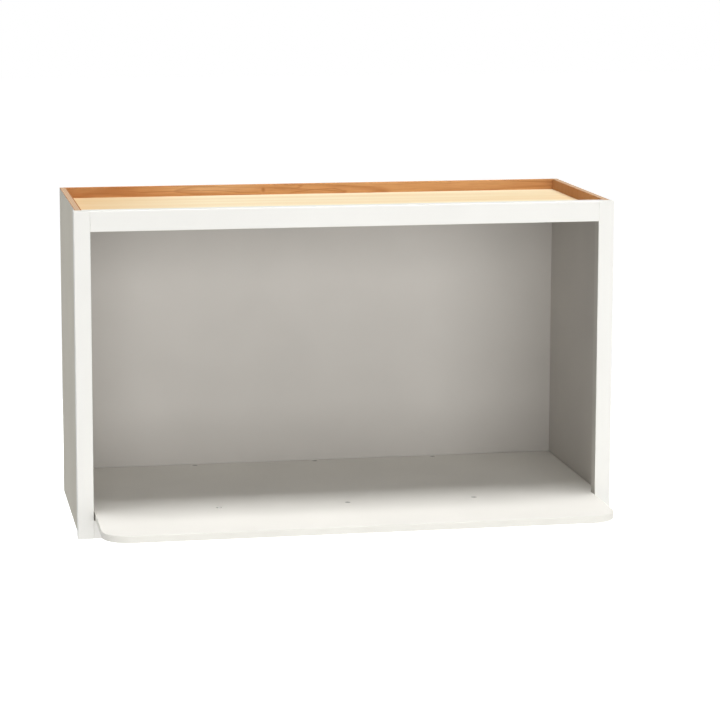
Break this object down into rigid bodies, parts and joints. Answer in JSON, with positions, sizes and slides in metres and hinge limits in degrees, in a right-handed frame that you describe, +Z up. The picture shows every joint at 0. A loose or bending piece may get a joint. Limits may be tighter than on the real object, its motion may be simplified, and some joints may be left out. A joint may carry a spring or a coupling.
{
  "type": "microwave wall cabinet",
  "caption": "Open framed wall cabinet for a microwave oven: plywood box, white painted face frame, recessed top panel and a thin screwed-down shelf with rounded front corners.",
  "frame": {"origin": "middle of the whole footprint, shelf included, at the height of the cabinet's bottom edges", "axes": "+Z up, +X to the right as seen from the front, +Y from the front to the wall"},
  "size_m": [0.762, 0.4398, 0.4572],
  "materials": {
    "frame_paint": "white satin paint on solid wood",
    "side_board": "white painted plywood, raw veneer above the top panel and on the cut edges",
    "floor_board": "white painted plywood",
    "back_board": "white painted plywood in front, raw brown veneer above the top panel and behind",
    "top_board": "raw pale maple veneer",
    "shelf_board": "white satin paint on a thin board",
    "shelf_edging": "white edge band",
    "dowel_wood": "raw beech",
    "screw_steel": "zinc plated, dull"
  },
  "bodies": {
    "root": {"left_side_panel": "side_board", "right_side_panel": "side_board", "top_panel": "top_board", "bottom_panel": "floor_board", "back_panel": "back_board", "left_stile": "frame_paint", "right_stile": "frame_paint", "top_rail": "frame_paint", "bottom_rail": "frame_paint", "microwave_shelf": "shelf_board", "shelf_edge_band": "shelf_edging", "top_left_lower_dowel": "dowel_wood", "top_left_upper_dowel": "dowel_wood", "top_right_lower_dowel": "dowel_wood", "top_right_upper_dowel": "dowel_wood", "bottom_left_lower_dowel": "dowel_wood", "bottom_left_upper_dowel": "dowel_wood", "bottom_right_lower_dowel": "dowel_wood", "bottom_right_upper_dowel": "dowel_wood", "front_left_shelf_screw": "screw_steel", "front_middle_shelf_screw": "screw_steel", "front_right_shelf_screw": "screw_steel", "rear_left_shelf_screw": "screw_steel", "rear_middle_shelf_screw": "screw_steel", "rear_right_shelf_screw": "screw_steel"}
  },
  "joints": []
}
